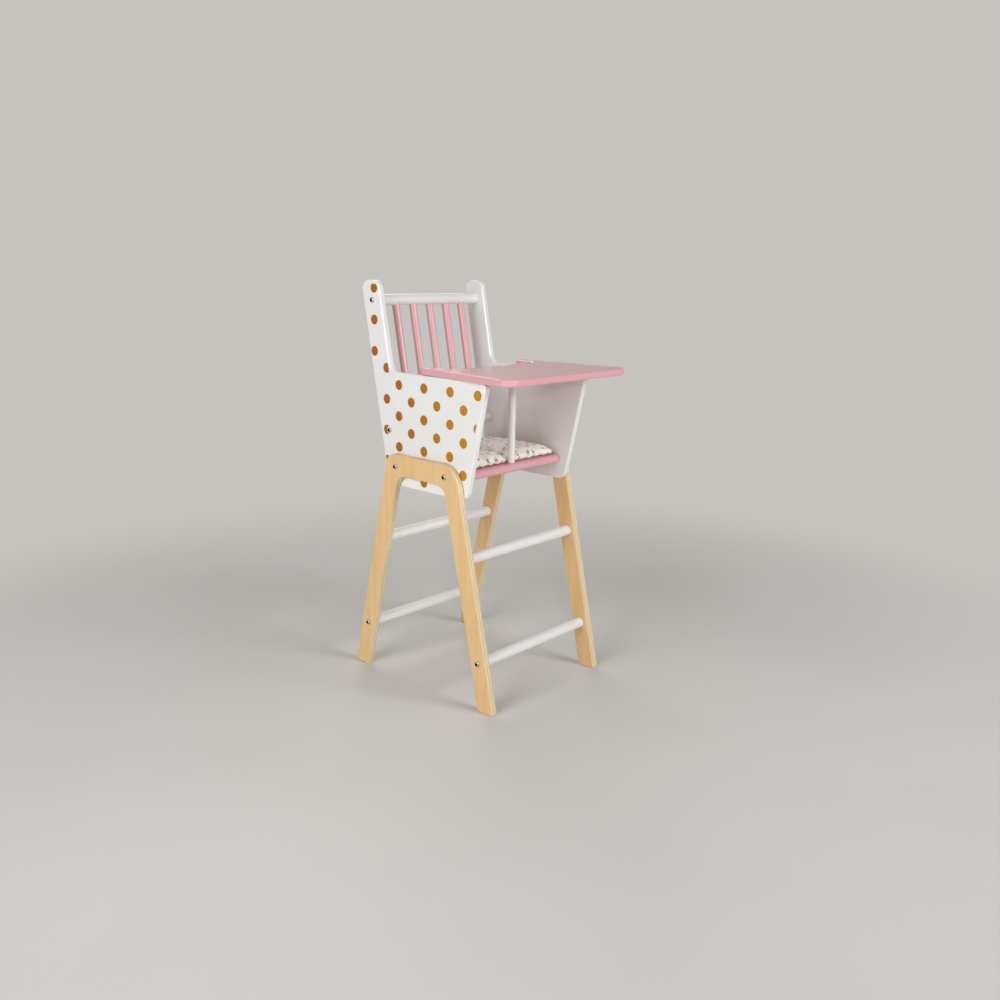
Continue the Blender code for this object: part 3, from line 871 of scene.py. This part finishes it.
thread_radius = 0.00028
thread_sides = 8
thread_steps = 8
thread_end_share = 0.45
thread_end = 0.05
thread_roundness = 0.4
stitch_length = 0.0027
stitch_gap = 0.0009
stitch_rise = 0.00022
stitch_lift = 0.0002
first_stitch = 0.0025
last_stitch_margin = 0.002


def stitch_mesh(name, line):
    """Short threads laid along a line of surface points."""
    shape = bmesh.new()
    lengths = [0.0]
    for before, after in zip(line, line[1:]):
        lengths.append(lengths[-1] + (after - before).length)

    def at(distance):
        for index in range(1, len(line)):
            if lengths[index] >= distance:
                share = (distance - lengths[index - 1]) / (lengths[index] - lengths[index - 1])
                return line[index - 1].lerp(line[index], share)
        return line[-1].copy()

    start = first_stitch
    while start + stitch_length < lengths[-1] - last_stitch_margin:
        rings = []
        for step in range(thread_steps + 1):
            share = step / thread_steps
            middle = at(start + stitch_length * share)
            middle += Vector((0, 0, stitch_rise * math.sin(math.pi * share)))
            fullness = math.sin(math.pi * (share * (1 - 2 * thread_end) + thread_end)) ** thread_roundness
            radius = thread_radius * (thread_end_share + (1 - thread_end_share) * fullness)
            ring = []
            for side in range(thread_sides):
                turn = math.tau * side / thread_sides
                around = Vector((radius * math.cos(turn), 0, radius * math.sin(turn)))
                ring.append(shape.verts.new(middle + around))
            rings.append(ring)
        for before, after in zip(rings, rings[1:]):
            for side in range(thread_sides):
                following = (side + 1) % thread_sides
                shape.faces.new((before[side], before[following], after[following], after[side]))
        shape.faces.new(rings[0])
        shape.faces.new(rings[-1])
        start += stitch_length + stitch_gap
    return as_mesh(name, shape)


mesh, seam, sewn = cushion_mesh()
cushion = add_piece("seat_cushion_filled", mesh, printed_cotton(), "cushion")
filled = fill_cushion(cushion, seam, sewn)
for vertex, point in zip(mesh.vertices, settle(filled)):
    vertex.co = point
mark_seam(mesh, seam)
smooth = cushion.modifiers.new("smooth", "SUBSURF")
smooth.levels = 1
smooth.render_levels = 1
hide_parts("seat_cushion")

for place, skin in (("top", 0), ("under", 1)):
    lift = Vector((0, 0, stitch_lift if skin == 0 else -stitch_lift))
    threads = stitch_mesh("stitches", [mesh.vertices[pair[skin]].co + lift for pair in sewn])
    add_piece("cushion_stitches_" + place, threads, thread_material(), "cushion")


# Floor, light and camera

backdrop_grey = srgb(198, 195, 191)
floor_radius = 9.0
floor_sides = 96
floor_fade = (0.35, 1.25)
room_colour = (1.0, 0.88, 0.74, 1.0)
room_strength = 0.10

# Lamps: name, place, width, watts and colour
lamp_target = (0, 0, 0.3)
lamps = (
    ("left", (-1.9, -0.2, 0.9), 1.2, 24.5, (0.945, 0.975, 1.0)),
    ("front", (0.4, -2.1, 1.05), 1.0, 28.0, (0.955, 0.985, 1.0)),
    ("near", (-1.36, -1.38, 0.80), 0.06, 4.0, (1.0, 0.92, 0.82)),
    ("back", (0.9, 1.6, 1.3), 1.2, 9.5, (1.0, 1.0, 1.0)),
    ("above", (0.1, 0.25, 2.0), 0.9, 2.4, (1.0, 0.99, 0.96)),
)

camera_place = (-0.9797, -0.9094, 0.5786)
camera_turn = (1.3334, -0.0183, -0.8339)
camera_lens = 34.454
camera_sensor = 36.0


def floor():
    """A pale floor that takes the shadow and turns into the backdrop farther out."""
    shader = Shader("studio_floor")
    x, y, _ = shader.split(shader.place)
    far = shader.step(shader.vector("LENGTH", shader.join(x, y, 0.0)), *floor_fade)
    clouds = shader.noise(shader.place, 3.0, 2.0)
    colour = shader.mix(shader.step(clouds, *noise_span), srgb(222, 220, 217), srgb(218, 216, 213))
    shader.finish(Base_Color=colour, Roughness=0.9)
    rays = shader.node("ShaderNodeLightPath")
    seen = shader.calc("MAXIMUM", rays.outputs["Is Camera Ray"], rays.outputs["Is Glossy Ray"])
    seen = shader.calc("MAXIMUM", seen, rays.outputs["Is Transmission Ray"])
    glow = shader.node("ShaderNodeEmission")
    glow.inputs["Color"].default_value = backdrop_grey
    blend = shader.node("ShaderNodeMixShader")
    shader.feed(blend.inputs[0], shader.calc("MULTIPLY", far, seen))
    shader.feed(blend.inputs[1], shader.surface.outputs[0])
    shader.feed(blend.inputs[2], glow.outputs[0])
    shader.feed(shader.tree.nodes["Material Output"].inputs[0], blend.outputs[0])
    shape = bmesh.new()
    bmesh.ops.create_circle(shape, cap_ends=True, segments=floor_sides, radius=floor_radius)
    mesh = as_mesh("studio_floor", shape)
    mesh.materials.append(shader.material)
    piece = bpy.data.objects.new("studio_floor", mesh)
    bpy.context.scene.collection.objects.link(piece)


def world():
    """Faint warm light from all round, and the backdrop for the eye and for reflections."""
    made = bpy.data.worlds.new("studio")
    bpy.context.scene.world = made
    made.use_nodes = True
    tree = made.node_tree
    light = tree.nodes["Background"]
    light.inputs["Color"].default_value = room_colour
    light.inputs["Strength"].default_value = room_strength
    backdrop = tree.nodes.new("ShaderNodeBackground")
    backdrop.inputs["Strength"].default_value = 1.0
    backdrop.inputs["Color"].default_value = backdrop_grey
    rays = tree.nodes.new("ShaderNodeLightPath")
    blend = tree.nodes.new("ShaderNodeMixShader")
    seen = rays.outputs["Is Camera Ray"]
    for kind in ("Is Glossy Ray", "Is Transmission Ray"):
        either = tree.nodes.new("ShaderNodeMath")
        either.operation = "MAXIMUM"
        tree.links.new(seen, either.inputs[0])
        tree.links.new(rays.outputs[kind], either.inputs[1])
        seen = either.outputs[0]
    tree.links.new(seen, blend.inputs[0])
    tree.links.new(light.outputs[0], blend.inputs[1])
    tree.links.new(backdrop.outputs[0], blend.inputs[2])
    tree.links.new(blend.outputs[0], tree.nodes["World Output"].inputs[0])


def soft_light(name, place, size, power, colour):
    data = bpy.data.lights.new(name, "AREA")
    data.shape = "SQUARE"
    data.size = size
    data.energy = power
    data.color = colour
    lamp = bpy.data.objects.new(name, data)
    bpy.context.scene.collection.objects.link(lamp)
    lamp.location = place
    lamp.rotation_euler = (Vector(lamp_target) - Vector(place)).to_track_quat("-Z", "Y").to_euler()


def camera():
    data = bpy.data.cameras.new("camera")
    data.sensor_width = camera_sensor
    data.lens = camera_lens
    made = bpy.data.objects.new("camera", data)
    bpy.context.scene.collection.objects.link(made)
    made.location = camera_place
    made.rotation_euler = camera_turn
    bpy.context.scene.camera = made


floor()
world()
for lamp in lamps:
    soft_light(*lamp)
camera()

bpy.context.scene.view_settings.view_transform = "Standard"
